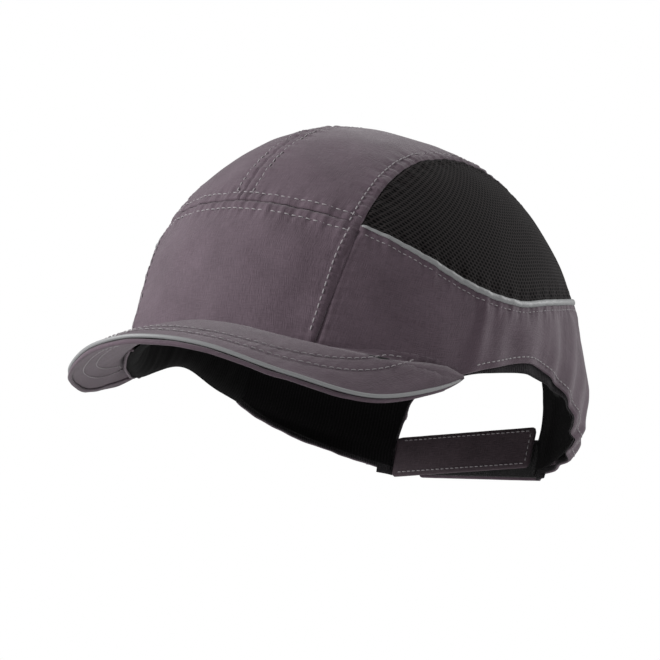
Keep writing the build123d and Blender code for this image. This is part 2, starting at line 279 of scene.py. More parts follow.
def seams(p, seam_piping, n):
    """Height of the grooves, ridges and puckers along the cap's seams."""
    x, y, z = p[..., 0], p[..., 1], p[..., 2]
    upright = np.sqrt(np.clip(1 - n[..., 2] ** 2, 0.05, 1))
    sideways = np.sqrt(np.clip(1 - n[..., 0] ** 2, 0.05, 1))
    in_front = y < CROWN_SHIFT
    seam_front = (z - front_seam_z(x)) / upright
    seam_strip = (np.abs(x) - strip_x(z)) / sideways
    on_strip = 1 / (1 + np.exp(seam_strip * 2))
    over_front = 1 / (1 + np.exp(-np.clip(seam_front * 2, -40, 40)))
    lean = np.arctan2(z, -(y - CROWN_SHIFT)) * 95
    height = seam_relief(x, lean, 0.4) * over_front * (seam_piping > -2)
    height += seam_relief(seam_front, x, 1.7) * on_strip * in_front
    height += seam_relief(seam_strip, lean, 2.9) * (seam_piping > -3)
    upright_seam = seam_relief(seam_strip, z, 3.3, 0.25) - 1.1 * bump(seam_strip - 0.7, 0.8)
    height += upright_seam * (seam_piping <= -3) * in_front
    return height + seam_relief(seam_piping, y, 4.6, 0.4, 0.2, 0.15) * (1 - on_strip * in_front)


def folds(p, seam_piping):
    """Height of the hollows and folds in the side panels, under the piping."""
    y, z = p[..., 1], p[..., 2]
    below = ramp_up(-seam_piping, 0, 8)
    turn = np.abs(turn_of(p))
    height = 2.4 * ramp_up(y, -30, 30) * below * noise_at(p, (8.0, 8.0, 70.0), 5.0) + flare(p)
    by_ear = bump(y + 38, 26.0) * below * (np.abs(p[..., 0]) > 60)
    height += 1.6 * by_ear * noise_at(p, (10.0, 10.0, 45.0), 7.0)
    height += below * (1.0 * bump(turn - 70, 1.8) - 0.7 * bump(turn - 67, 2.2)) * ramp_up(z, -26, -8)
    height -= (1.9 * ramp_up(-z, -28, 0) + 1.1 * bump(z - 72, 12)) * bump(turn - 50, 24)
    return height - 0.9 * bump(seam_piping - 8, 10) * ramp_up(y, 30, 60)


def relief(p, grain=1.0):
    """Height of the soft surface over the plain form."""
    n = outward(p)
    upright = np.sqrt(np.clip(1 - n[..., 2] ** 2, 0.05, 1))
    seam_piping = (p[..., 2] - through(PIPING_SEAM, p[..., 1])) / upright
    uneven = 0.9 * grain * noise_at(p, 42.0, 3.0) + 0.45 * grain * noise_at(p, 13.0, 9.0)
    height = seams(p, seam_piping, n) + uneven + folds(p, seam_piping)
    return np.maximum(height, -1.5 - 1.2 * ramp_up(-p[..., 2], 14, 20))


def skin(p, raised=0.0, grain=1.0):
    """Points on the plain surface, moved onto the soft one."""
    return p + outward(p) * (relief(p, grain) + raised)[..., None]


def blend_rows(lower, upper, count, inset=0.0, ease=True):
    """Grid of surface points between two lines, closer together beside both."""
    share = np.linspace(0, 1, count)
    if ease:
        share = share - 0.11 * np.sin(2 * np.pi * share)
    rows = lower[:, None] * (1 - share[None, :, None]) + upper[:, None] * share[None, :, None]
    return project(rows, inset)


# ---------- materials
def new_material(name, roughness, specular=0.35, sheen=0.0):
    material = bpy.data.materials.new(name)
    material.use_nodes = True
    shader = material.node_tree.nodes["Principled BSDF"]
    shader.inputs["Roughness"].default_value = roughness
    shader.inputs["Specular IOR Level"].default_value = specular
    shader.inputs["Sheen Weight"].default_value = sheen
    shader.inputs["Sheen Roughness"].default_value = 0.45
    return material, shader


def node(material, kind, inputs=None, **settings):
    made = material.node_tree.nodes.new(kind)
    for key, value in settings.items():
        setattr(made, key, value)
    for key, value in (inputs or {}).items():
        if isinstance(value, bpy.types.NodeSocket):
            material.node_tree.links.new(value, made.inputs[key])
        else:
            made.inputs[key].default_value = value
    return made


def cloth_uv(material, scale=(1, 1, 1)):
    """UVs are in millimetres along and across each piece."""
    uv = node(material, "ShaderNodeUVMap", uv_map="cloth")
    return node(material, "ShaderNodeMapping", {"Vector": uv.outputs[0], "Scale": scale}).outputs[0]


def threads(material, along, across, detail=2.0):
    """Noise in the cloth's plane, drawn out where along and across differ."""
    texture = node(material, "ShaderNodeTexNoise",
                   {"Vector": cloth_uv(material, (along, across, 1)), "Scale": 1.0, "Detail": detail})
    return texture.outputs[0]


def math_node(material, operation, a, b=0.0, c=0.0):
    return node(material, "ShaderNodeMath", {0: a, 1: b, 2: c}, operation=operation).outputs[0]


def paint(material, shader, value, low, dark, high, light):
    """Colours the surface by a value: dark where it is low, light where it is high."""
    made = node(material, "ShaderNodeValToRGB", {"Fac": value})
    for point, place, colour in zip(made.color_ramp.elements, (low, high), (dark, light)):
        point.position = place
        point.color = (*colour, 1)
    material.node_tree.links.new(made.outputs[0], shader.inputs["Base Color"])


def add_bump(material, shader, height, distance, strength=1.0):
    made = node(material, "ShaderNodeBump", {"Height": height, "Distance": distance, "Strength": strength})
    material.node_tree.links.new(made.outputs[0], shader.inputs["Normal"])


def woven(name, dark, light, sheen=0.25):
    """Fine plain weave with slubs, a little uneven in colour."""
    material, shader = new_material(name, 0.72, 0.3, sheen)
    warp = threads(material, 0.25, 2.6)
    weft = threads(material, 2.6, 0.25)
    grain = math_node(material, "ADD", warp, weft)
    cloud = threads(material, 0.05, 0.05, 3.0)
    tone = math_node(material, "MULTIPLY_ADD", grain, 0.5, math_node(material, "MULTIPLY", cloud, 0.5))
    paint(material, shader, tone, 0.55, dark, 0.95, light)
    add_bump(material, shader, grain, 0.00022, 0.9)
    return material


def air_mesh(name, dark, light):
    """Knitted mesh: staggered round holes in a fine knit."""
    material, shader = new_material(name, 0.85, 0.08, 0.05)
    pitch = 1.75

    def vector(operation, a, b=(0, 0, 0)):
        return node(material, "ShaderNodeVectorMath", {0: a, 1: b}, operation=operation).outputs

    def rings(offset):
        uv = cloth_uv(material, (1 / pitch, 1 / (pitch * 1.732), 1))
        cell = vector("FRACTION", vector("ADD", uv, (offset, offset, 0))[0])[0]
        centred = vector("SUBTRACT", cell, (0.5, 0.5, 0))[0]
        return vector("LENGTH", vector("MULTIPLY", centred, (1, 1.732, 0))[0])[1]

    distance = math_node(material, "MINIMUM", rings(0.0), rings(0.5))
    rim = node(material, "ShaderNodeMapRange", {"Value": distance, "From Min": 0.24, "From Max": 0.4},
               interpolation_type="SMOOTHSTEP").outputs[0]
    knit = threads(material, 1.6, 3.2)
    tone = math_node(material, "MULTIPLY", rim, math_node(material, "MULTIPLY_ADD", knit, 0.6, 0.6))
    paint(material, shader, tone, 0.0, dark, 0.85, light)
    add_bump(material, shader, rim, 0.0005)
    return material


def speckled(name, dark, light, roughness, grain=2.0, depth=0.0002, specular=0.35, sheen=0.0):
    """Fine-grained surface: foam, loop pile, thread, moulded plastic or reflective tape."""
    material, shader = new_material(name, roughness, specular, sheen)
    fine = threads(material, grain, grain, 4.0)
    paint(material, shader, fine, 0.3, dark, 0.7, light)
    add_bump(material, shader, fine, depth)
    return material


def ribbed(name, dark, light, pitch, roughness=0.85):
    """Ribbon or ribbed knit, with fine ribs across the piece."""
    material, shader = new_material(name, roughness, 0.06, 0.02)
    uv = node(material, "ShaderNodeSeparateXYZ", {"Vector": cloth_uv(material)})
    wave = math_node(material, "SINE", math_node(material, "MULTIPLY", uv.outputs[0], 2 * math.pi / pitch))
    knit = threads(material, 0.8, 2.4)
    tone = math_node(material, "MULTIPLY_ADD", wave, 0.2, knit)
    paint(material, shader, tone, 0.25, dark, 0.8, light)
    add_bump(material, shader, tone, 0.00015)
    return material


def solid_grain(name, dark, light, roughness, scale):
    """Moulded plastic of a CAD part, which has no cloth UVs."""
    material, shader = new_material(name, roughness, 0.4)
    place = node(material, "ShaderNodeTexCoord").outputs["Object"]
    fine = node(material, "ShaderNodeTexNoise", {"Vector": place, "Scale": scale, "Detail": 3.0}).outputs[0]
    paint(material, shader, fine, 0.3, dark, 0.7, light)
    add_bump(material, shader, fine, 0.0001)
    return material


CLOTH = woven("cap_fabric", (0.082, 0.0545, 0.0715), (0.136, 0.0945, 0.121))
# The cap's purple-grey cloth again, painted darker: painted shade for the strap's shaded inner face.
CLOTH_PAINTED_SHADE = woven("strap_fabric_painted_shade", (0.05, 0.034, 0.042), (0.09, 0.064, 0.076), 0.1)
MESH = air_mesh("air_mesh", (0.0008, 0.0007, 0.0007), (0.026, 0.022, 0.0225))
THREAD = speckled("thread", (0.3, 0.275, 0.29), (0.44, 0.41, 0.43), 0.6, 4.0)
REFLECT = speckled("reflective_piping", (0.24, 0.245, 0.25), (0.33, 0.335, 0.34), 0.42, 3.0, 0.0001, 0.6)
RIBBON = ribbed("ribbon", (0.012, 0.011, 0.012), (0.05, 0.046, 0.05), 1.1)
LINING = ribbed("lining", (0.004, 0.004, 0.004), (0.012, 0.011, 0.012), 1.4)
SWEAT = ribbed("sweatband", (0.004, 0.004, 0.004), (0.011, 0.0105, 0.011), 1.3)
FOAM = speckled("foam", (0.01, 0.01, 0.01), (0.022, 0.022, 0.023), 0.9, 1.5, 0.0003, 0.2)
LOOP = speckled("loop_pile", (0.004, 0.004, 0.004), (0.03, 0.028, 0.03), 0.95, 1.8, 0.0006, 0.15, 0.5)
HOOK = speckled("hook_field", (0.006, 0.006, 0.006), (0.03, 0.03, 0.03), 0.5, 1.2, 0.0006)
SHELL = solid_grain("shell_plastic", (0.008, 0.008, 0.009), (0.014, 0.014, 0.015), 0.5, 900)
BOARD = speckled("board_plastic", (0.03, 0.03, 0.03), (0.04, 0.04, 0.04), 0.6, 1.0)


# ---------- mesh building
def new_object(name, points, faces, uvs, material, body):
    """Mesh object from level millimetres; it rides on a body and takes a material slot's finish."""
    mesh = bpy.data.meshes.new(name)
    mesh.from_pydata(worn(points).reshape(-1, 3).tolist(), [], [list(f) for f in faces])
    layer = mesh.uv_layers.new(name="cloth")
    loops = np.zeros(len(mesh.loops), int)
    mesh.loops.foreach_get("vertex_index", loops)
    layer.data.foreach_set("uv", np.asarray(uvs, np.float32).reshape(-1, 2)[loops].ravel())
    mesh.polygons.foreach_set("use_smooth", [True] * len(mesh.polygons))
    mesh.materials.append(material)
    piece = bpy.data.objects.new(name, mesh)
    bpy.context.collection.objects.link(piece)
    if body is not None:
        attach(piece, body)
    return piece


def grid_faces(rows, columns, around=False):
    """Quads of a rows x columns grid of points, joined round the columns if asked."""
    i, j = np.meshgrid(np.arange(rows - 1), np.arange(columns if around else columns - 1), indexing="ij")
    k = (j + 1) % columns
    return np.stack([i * columns + j, (i + 1) * columns + j, (i + 1) * columns + k, i * columns + k],
                    -1).reshape(-1, 4)


def ring_faces(rings, count):
    """Faces of a closed solid through rings of count points, with a cap on both ends."""
    last = (rings - 1) * count
    ends = [list(range(count))[::-1], list(range(last, last + count))]
    return [list(f) for f in grid_faces(rings, count, True)] + ends


def grid_lengths(grid):
    """Running lengths along both directions of a grid, in millimetres."""
    along = np.linalg.norm(np.diff(grid, axis=0), axis=-1)
    across = np.linalg.norm(np.diff(grid, axis=1), axis=-1)
    u = np.vstack([np.zeros((1, grid.shape[1])), np.cumsum(along, 0)])
    v = np.hstack([np.zeros((grid.shape[0], 1)), np.cumsum(across, 1)])
    return u, v


def grid_uvs(grid):
    return np.stack(grid_lengths(grid), -1)


def add_thickness(piece, thickness):
    """Gives a one-sided cloth its thickness in millimetres, behind its outer face."""
    solid = piece.modifiers.new("thickness", "SOLIDIFY")
    solid.thickness = thickness / 1000
    solid.offset = -1.0


def declare_sheet(grid):
    """Works out the cloth's width, length and area when it lies flat; nothing uses them."""
    u, v = grid_lengths(grid)
    corners = grid.reshape(-1, 3)[grid_faces(*grid.shape[:2])]
    crossed = np.cross(corners[:, 2] - corners[:, 0], corners[:, 3] - corners[:, 1])
    area = np.linalg.norm(crossed, axis=-1).sum() / 2e6
    width, length = u[-1].max() / 1000, v[:, -1].max() / 1000
    area = min(area, width * length)


def cloth_piece(name, replaced, grid, material, thickness=FABRIC, uvs=None, declare=True):
    """Closed sheet of cloth from a grid of surface points; thickness goes inward."""
    faces = grid_faces(*grid.shape[:2])
    corner = grid.reshape(-1, 3)[faces[len(faces) // 2]]
    facing = np.cross(corner[1] - corner[0], corner[3] - corner[0]) @ (corner[0] - (0, CROWN_SHIFT, 0))
    if facing < 0:
        faces = faces[:, ::-1]
    piece = new_object(name, grid, faces, grid_uvs(grid) if uvs is None else uvs, material, "cap")
    add_thickness(piece, thickness)
    if declare:
        declare_sheet(grid)
    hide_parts(replaced)


def resample(points, step):
    """Points about a step apart along a line."""
    lengths = np.concatenate([[0], np.cumsum(np.linalg.norm(np.diff(points, axis=0), axis=-1))])
    count = max(int(round(lengths[-1] / step)), 1) + 1
    at = np.linspace(0, lengths[-1], count)
    return np.stack([np.interp(at, lengths, points[:, k]) for k in range(3)], -1)


def reflective_bead(name, replaced, path, up, section, size):
    """Piping: a section (across, up) carried along a path, scaled by size at each point."""
    tangent = np.gradient(path, axis=0)
    tangent /= np.linalg.norm(tangent, axis=-1, keepdims=True)
    across = np.cross(tangent, up)
    across /= np.linalg.norm(across, axis=-1, keepdims=True)
    rise = np.cross(across, tangent)
    section = np.asarray(section, float)
    rings = (path[:, None] + across[:, None] * section[None, :, :1] * size[:, None, None]
             + rise[:, None] * section[None, :, 1:] * size[:, None, None])
    count = len(section)
    u, _ = grid_lengths(rings)
    around = np.arange(count) / count * 8
    uvs = np.stack([u, np.broadcast_to(around, u.shape)], -1)
    piece = new_object(name, rings, ring_faces(len(path), count), uvs, REFLECT, "cap")
    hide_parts(replaced)


def recalculate(piece):
    """Turns all faces of a closed piece outward."""
    mesh = bmesh.new()
    mesh.from_mesh(piece.data)
    bmesh.ops.recalc_face_normals(mesh, faces=mesh.faces)
    mesh.to_mesh(piece.data)
    mesh.free()


def closed_rings(name, rings, material, body, replaced):
    """Closed solid through rings of points, each joined round."""
    piece = new_object(name, rings, ring_faces(*rings.shape[:2]), grid_uvs(rings), material, body)
    recalculate(piece)
    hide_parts(replaced)
    return piece


def oval(width, height, lift):
    a = np.arange(14) * 2 * np.pi / 14
    return np.stack([width / 2 * np.cos(a), lift + height / 2 * np.sin(a)], -1)


STITCHES = []
STITCH_RINGS = ((-0.5, 0.35, 0.30), (-0.36, 0.9, 0.05), (0, 1.0, 0.0), (0.36, 0.9, 0.05), (0.5, 0.35, 0.30))
STITCH_SIDES = 6


def stitch(line, up=None, body="cap", pitch=3.1, radius=0.28, lift=0.18):
    """Row of thread stitches along a line of points; the rows are joined into one piece for each body."""
    share = 0.7
    points = resample(line, pitch)
    middle = (points[1:] + points[:-1]) / 2
    tangent = points[1:] - points[:-1]
    length = np.linalg.norm(tangent, axis=-1, keepdims=True)
    tangent = tangent / length
    normal = outward(middle) if up is None else np.broadcast_to(np.asarray(up, float), middle.shape)
    across = np.cross(tangent, normal)
    across /= np.linalg.norm(across, axis=-1, keepdims=True)
    normal = np.cross(across, tangent)
    rings = []
    a = np.arange(STITCH_SIDES) * 2 * np.pi / STITCH_SIDES
    for place, size, sink in STITCH_RINGS:
        centre = middle + tangent * length * share * place + normal * (lift - sink)
        rings.append(centre[:, None] + across[:, None] * (np.cos(a) * radius * size)[None, :, None]
                     + normal[:, None] * (np.sin(a) * radius * size * 0.8)[None, :, None])
    STITCHES.append((body, np.stack(rings, 1)))


def sew_all(body, name):
    """One mesh of all stitches on a body."""
    rings = np.concatenate([r for b, r in STITCHES if b == body])
    count, along, around = rings.shape[:3]
    one = ring_faces(along, around)
    faces = [[v + along * around * k for v in f] for k in range(count) for f in one]
    u = np.broadcast_to(np.arange(along)[None, :, None] * 0.6, rings.shape[:3])
    v = np.broadcast_to(np.arange(around)[None, None, :] * 0.3, rings.shape[:3])
    uvs = np.stack([u + np.arange(count)[:, None, None] * 1.7, v], -1)
    new_object(name, rings, faces, uvs, THREAD, body)


# ---------- outer panels
def strip_line(side, count, inset=0.0, grow=0.0, front_rise=0.0):
    return lengthwise(lambda z: side * (strip_x(z) + grow), count, inset, front_rise)


def front_seam(count, rise=0.0, inset=0.0, grow=0.0):
    """Line along the horizontal front seam, from the wearer's right to left."""
    edge = strip_x(SEAM_STRIP_Z) + grow
    x = np.linspace(-edge, edge, count)
    z = front_seam_z(x) + rise
    return at_turn(turn_at_x(x, z), z, inset)


def wall_line(keys, start, stop, count, rise=0.0, inset=0.0, side=1):
    """Line round the wall on a side-view curve, from one turn to another."""
    return on_curve(keys, side * np.linspace(start, stop, count), rise, inset)


def upright_front(side, count, grow=0.0, foot=-34.5, top=None, inset=0.0):
    """Line down the front seam between front panel and side panel, from the foot up."""
    top = front_seam_z(side * 50.0) if top is None else top
    z = np.linspace(foot, top, count)
    return at_turn(turn_at_x(side * (strip_x(z) + grow), z), z, inset)


def front_panel():
    x = np.linspace(-1, 1, 150) * FRONT_HALF
    foot = on_curve(HEM, turn_at_x(x, np.zeros(150)))
    grid = blend_rows(foot, front_seam(150), 84)
    z = grid[..., 2]
    near_side = np.clip(1 - (strip_x(z) - np.abs(grid[..., 0])) / 9, 0, 1)
    below = np.clip((front_seam_z(grid[..., 0]) - z) / 8, 0, 1)
    surface = skin(grid, 0.55 * near_side * below)
    cloth_piece("front_panel_cloth", "front_panel", surface, CLOTH)


def crown_panel(side, name):
    grid = blend_rows(lengthwise(lambda z: 0 * z, 230), strip_line(side, 230), 80)
    cloth_piece("crown_cloth_" + name, "crown_panel_" + name, skin(grid), CLOTH)


def mesh_corner(side):
    """Turns where the mesh panel starts in front and ends behind, on the piping seam."""
    return [float(turn) for turn in np.abs(turn_of(strip_line(side, 2)))]


def mesh_panel(side, name):
    start, stop = mesh_corner(side)
    lower = wall_line(PIPING_SEAM, start, stop, 150, side=side)
    upper = strip_line(side, 150)
    grid = blend_rows(lower, upper, 84)
    _, rise = grid_lengths(grid)
    uvs = np.stack([grid[..., 1], rise], -1)
    surface = skin(grid, -0.35, 0.6)
    cloth_piece("mesh_cloth_" + name, "mesh_panel_" + name, surface, MESH, 1.2, uvs)


def arch_line(side, count, inset=0.0, grow=0.0):
    """Half outline of the rear arch at positive x, from the tail's corner to the middle of its top."""
    keys = np.array(ARCH[side], float)
    x = keys[:, 0] + grow * (keys[:, 0] > 1)
    z = keys[:, 1] + grow * (keys[:, 1] > 20)
    run = np.concatenate([[0], np.cumsum(np.hypot(np.diff(x), np.diff(z)))])
    at = np.linspace(0, run[-1], count)
    x = through(list(zip(run, x)), at)
    z = through(list(zip(run, z)), at)
    return at_turn(turn_at_x(x, z, True), z, inset)


def tail_turn(side):
    return float(turn_at_x(ARCH[side][0][0], 0.0, True))


def side_panel(side, name):
    start = mesh_corner(side)[0]
    first = float(turn_at_x(46.4, 0.0))
    lower = np.concatenate([wall_line(HEM, first, tail_turn(side), 250), arch_line(side, 71)[1:]])
    behind = wall_line(PIPING_SEAM, 146, 180, 71)[1:]
    upper = np.concatenate([wall_line(PIPING_SEAM, start, 146, 250), behind])
    grid = blend_rows(lower, upper, 76)
    front_edge = upright_front(1, 76, 0.0, lower[0][2], upper[0][2])
    fade = np.clip(1 - np.arange(len(grid)) / 60, 0, 1)[:, None, None]
    grid = project(grid + fade * (front_edge[None] - grid[:1]))
    grid[..., 0] *= side
    surface = skin(grid)
    hem_roll = bump(np.arange(76)[None, :] * 1.0, 2.0) * np.ones((len(grid), 1))
    surface = surface - outward(grid) * (0.5 * hem_roll)[..., None]
    cloth_piece("side_cloth_" + name, "side_panel_" + name, surface, CLOTH)


def side_piping(side, name):
    start = mesh_corner(side)[0]
    path = wall_line(PIPING_SEAM, start, 180, 220, side=side)
    normal = outward(path)
    run = np.linspace(0, 1, len(path))
    path = path + normal * (relief(path) + 0.15 - 1.0 * ramp_up(-run, -0.012, 0))[:, None]
    size = 0.45 + 0.55 * ramp_up(run, 0, 0.16)
    reflective_bead("piping_" + name, "side_piping_" + name, path, normal, oval(2.7, 1.8, 0.1), size)


# ---------- edge bindings, tapes and lining
def ribbon_between(name, replaced, lower, upper, inset, thickness=0.6):
    grid = blend_rows(lower, upper, 9, inset, False)
    grid = grid + outward(grid) * (relief(grid) - 0.3)[..., None]
    cloth_piece(name, replaced, grid, RIBBON, thickness, declare=False)


def bindings(side, name):
    tail = tail_turn(side) - 0.6
    lower = wall_line(HEM, 66, tail, 150, 0.2, FABRIC, side)
    lower[:, 2] -= 4.6 * bump(np.abs(turn_of(lower)) - 87, 15) * (side > 0)
    upper = wall_line(HEM, 66, tail, 150, 6.5, FABRIC, side)
    ribbon_between("hem_ribbon_" + name, "hem_binding_" + name, lower, upper, FABRIC + 0.1)


def arch_ribbon():
    lines = []
    for grow in (0.2, 6.5):
        mirrored = arch_line(-1, 70, FABRIC, grow)[::-1][1:] * (-1, 1, 1)
        lines.append(np.concatenate([arch_line(1, 70, FABRIC, grow), mirrored]))
    ribbon_between("arch_ribbon", "arch_binding", *lines, FABRIC + 0.1)


def seam_tapes():
    half = 5.0
    inset = FABRIC + 0.2
    edges = [lengthwise(lambda z, s=s: 0 * z + s * half, 120, inset, half) for s in (-1, 1)]
    ribbon_between("centre_tape", "centre_seam_tape", *edges, inset, 0.4)
    edges = [front_seam(90, s * half, inset, -6.0) for s in (-1, 1)]
    ribbon_between("front_tape", "front_seam_tape", *edges, inset, 0.4)
    for side, name in SIDES:
        edges = []
        for grow in (-half, half):
            over = strip_line(side, 120, inset, grow)
            down = upright_front(side, 40, grow, -28.0, over[0][2], inset)
            edges.append(np.concatenate([down[:-1], over]))
        ribbon_between("strip_tape_" + name, "strip_seam_tape_" + name, *edges, inset, 0.4)


def tail_lining(side, name):
    start = float(turn_at_x(HALF_WIDTH * 0.96, 0.0, True)) - 4
    tail = tail_turn(side) - 1.0
    edge = arch_line(side, 50, 1.8, 1.0)
    edge[:, 0] -= 4.8 * bump(edge[:, 2] + 4, 6.5) * (side > 0)
    lower = np.concatenate([wall_line(HEM, start, tail, 110, 1.6, 1.8), edge[1:]])
    upper = np.concatenate([wall_line(SHELL_EDGE, start, 150, 110, -1.5, 1.8),
                            wall_line(SHELL_EDGE, 150, 180, 50, -1.5, 1.8)[1:]])
    grid = blend_rows(lower, upper, 40, 1.8)
    grid[..., 0] *= side
    soft = noise_at(grid, (11.0, 11.0, 30.0), 2.0) * 0.5 - 0.4 + flare(grid)
    surface = grid + outward(grid) * soft[..., None]
    cloth_piece("tail_lining_cloth_" + name, "tail_lining_" + name, surface, LINING, 0.6)


# ---------- sweatband and pads
def sweatband():
    """Padded knit band: sewn at the hem, leaning in over the shell's lower rim."""
    turns = np.linspace(-BAND_END, BAND_END, 260)
    profile = [(0.2, 1.6), (0.0, 3.2), (3.0, 4.6), (9.0, 4.9), (18.0, 5.0), (25.0, 5.0), (27.0, 5.4),
               (27.2, 6.4), (25.0, 7.2), (18.0, 7.8), (9.0, 8.0), (3.0, 7.0), (0.6, 4.6)]
    rows = []
    for rise, inset in profile:
        line = on_curve(HEM, turns, rise + 0.6, inset)
        line[:, 2] -= 2.0 * bump(turns + 70, 8) + 4.0 * bump(turns + 96, 14)
        crease = 0.35 * wobble(turns * 0.55 + rise * 0.05, 1.0) * (inset > 5.2)
        rows.append(line + outward(line) * crease[:, None])
    rings = np.stack(rows, 1)
    faces = ring_faces(*rings.shape[:2])
    piece = new_object("sweatband_knit", rings, faces, grid_uvs(rings), SWEAT, "cap")
    smooth = piece.modifiers.new("smooth", "SUBSURF")
    smooth.levels = smooth.render_levels = 1
    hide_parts("sweatband")


def pad_faces():
    """Faces of a pad: its outer face, its inner face, then the walls between their rims."""
    rows, last = PAD_ROWS, PAD_ROWS - 1
    behind = rows * rows
    quads = grid_faces(rows, rows)
    rim = list(range(rows)) + [rows * k + last for k in range(1, rows)]
    rim += [rows * last + k for k in range(last - 1, -1, -1)] + [rows * k for k in range(last - 1, 0, -1)]
    walls = [[a, b, b + behind, a + behind] for a, b in zip(rim, rim[1:] + rim[:1])]
    return [list(f)[::-1] for f in quads] + [[i + behind for i in f] for f in quads] + walls


def pad(name, replaced, outline, dimples):
    """Moulded foam pad: outline(u, v) gives its outer face; its edges are rounded, its face crowned."""
    across = np.linspace(-1, 1, PAD_ROWS)
    u, v = np.meshgrid(across, across, indexing="ij")
    face = outline(*squircle(u, v))
    edge = np.clip((1 - np.abs(u) ** 6) * (1 - np.abs(v) ** 6), 0, 1)
    depth = 4.6 * edge**0.35 + 0.2
    for du, dv, size in dimples:
        depth -= 3.0 * np.exp(-(((u - du) / size[0]) ** 2 + ((v - dv) / size[1]) ** 2) ** 2)
    front = face - outward(face) * np.maximum(depth, 0.2)[..., None]
    uvs = grid_uvs(face)
    both, both_uvs = np.stack([face, front]), np.stack([uvs, uvs + 200])
    piece = new_object(name, both, pad_faces(), both_uvs, FOAM, "cap")
    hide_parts(replaced)


def squircle(u, v):
    """Square grid bent to a rounded outline."""
    return u * np.sqrt(1 - 0.32 * v**2), v * np.sqrt(1 - 0.32 * u**2)


def pads():
    def crown(a, b):
        p = np.stack([a * 46, CROWN_SHIFT + b * 55, 60 + 0 * a], -1)
        half = HALF_WIDTH - PAD_INSET
        level = np.hypot(p[..., 0] / half, (p[..., 1] - CROWN_SHIFT) / (half * STRETCH))
        p[..., 2] = (CROWN_HEIGHT - PAD_INSET) * (1 - level**SPREAD_POWER) ** (1 / RISE_POWER)
        return p

    def front(a, b):
        return at_turn(a * 29, 10 + b * 12.5, PAD_INSET)

    def rear(a, b):
        return at_turn(180 - a * 27, 54 + b * 9, PAD_INSET)

    def left(a, b):
        return on_curve(SHELL_EDGE, 88 + a * 24, 28 + b * 10.5, PAD_INSET)

    def right(a, b):
        return left(a, b) * (-1, 1, 1)

    grid = [(i / 3, j / 3, (0.09, 0.075)) for i in (-2, 0, 2) for j in (-2, -1, 0, 1, 2)]
    row = [(i / 3, 0.0, (0.07, 0.28)) for i in (-2, -1, 0, 1, 2)]
    pad("crown_foam", "crown_pad", crown, grid)
    pad("front_foam", "front_pad", front, row)
    pad("rear_foam", "rear_pad", rear, row)
    pad("side_foam_left", "side_pad_left", left, row)
    pad("side_foam_right", "side_pad_right", right, row)


# ---------- brim
def brim_lines(turn):
    """Root, edge and wall points of the brim at angles round it, with the heights along each."""
    a = np.radians(turn)
    size = np.abs(turn)
    edge = np.stack([BRIM_HALF * np.sin(a), BRIM_BACK - BRIM_REACH * np.cos(a) ** BRIM_POWER], -1)
    half, back, reach = BRIM_ROOT
    root = np.stack([half * np.sin(a), back - reach * np.cos(a)], -1)
    along = edge - root
    length = np.linalg.norm(along, axis=-1)
    scale = np.array([HALF_WIDTH, HALF_LENGTH])
    start = (root - (0, CROWN_SHIFT)) / scale
    step = along / scale
    k2, k1, k0 = (step**2).sum(-1), 2 * (start * step).sum(-1), (start**2).sum(-1) - 1
    at_wall = (-k1 + np.sqrt(k1**2 - 4 * k2 * k0)) / (2 * k2)
    edge_z = through(BRIM_EDGE_Z, size) + through(BRIM_BEND, turn)
    return root, along, length, at_wall, edge_z, through(BRIM_SEAM_Z, size)


def brim_point(turn, share, lift=0.0, beyond=0.0, crowned=1.0):
    """Point of the brim's upper face: share 0 at the wall, 1 at the edge; beyond goes on outward, lift up."""
    root, along, length, at_wall, edge_z, seam_z = brim_lines(turn)
    width = (1 - at_wall) * length
    share = share + beyond / np.maximum(width, 3.0)
    place = root + along * (at_wall + (1 - at_wall) * share)[..., None]
    top = seam_z + (edge_z + BRIM_HALF_THICK - seam_z) * share
    crown = 0.144 * crowned * width * (share - share**2)
    return np.stack([place[..., 0], place[..., 1], top + crown + lift], -1), width


def brim_normal(turn, share):
    step = 0.02
    here, _ = brim_point(turn, share)
    out, _ = brim_point(turn, share + step)
    along, _ = brim_point(turn + 0.5, share)
    n = np.cross(along - here, out - here)
    n /= np.linalg.norm(n, axis=-1, keepdims=True)
    return n * np.sign(n[..., 2:])


def row_share(turn, row):
    """Share of the brim's width where a stitch row runs: along the edge, then rounding into the seam."""
    first, end = row
    _, width = brim_point(turn, np.zeros_like(turn))
    inner = np.clip(1 - first / np.maximum(width, 1), 0.02, 1)
    return inner * np.sqrt(np.clip(1 - (np.abs(turn) / end) ** 8, 0, 1))


def brim_slim(turn):
    """Share of the brim's thickness that is left as it runs out beside the ears."""
    return 0.3 + 0.7 * ramp_up(-np.abs(turn), -BRIM_END, -60) ** 0.7


def brim_top(turns):
    turn, share = np.meshgrid(turns, np.linspace(0, 1, 48), indexing="ij")
    _, width = brim_point(turn, share)
    tucked = (1.2 + bump(np.abs(turn) - 50, 18)) / width
    share = share - tucked * (1 - share)
    top, _ = brim_point(turn, share)
    to_edge = (1 - share) * width
    soft = 0.35 * noise_at(top, 30.0, 1.0) - 1.1 * bump(share * width, 1.4) + 0.15 * noise_at(top, 6.0, 4.0)
    for row in BRIM_ROWS:
        off = (share - row_share(turn, row)) * width
        soft += 0.12 * wobble(turn * 1.6, row[0]) * bump(off, 3.0) - 0.25 * bump(off, 0.9)
    soft *= ramp_up(to_edge, 0, 1.5)
    surface = top + brim_normal(turn, share) * soft[..., None]
    cloth_piece("brim_top_cloth", "brim_top_cover", surface, CLOTH)


def brim_rings(turns, profile):
    """Rings of points round the brim, on a profile of (share, beyond, lift, crowned)."""
    rows = [brim_point(turns, np.full_like(turns, at), lift, beyond, crowned)[0]
            for at, beyond, lift, crowned in profile]
    return np.stack(rows, 1)


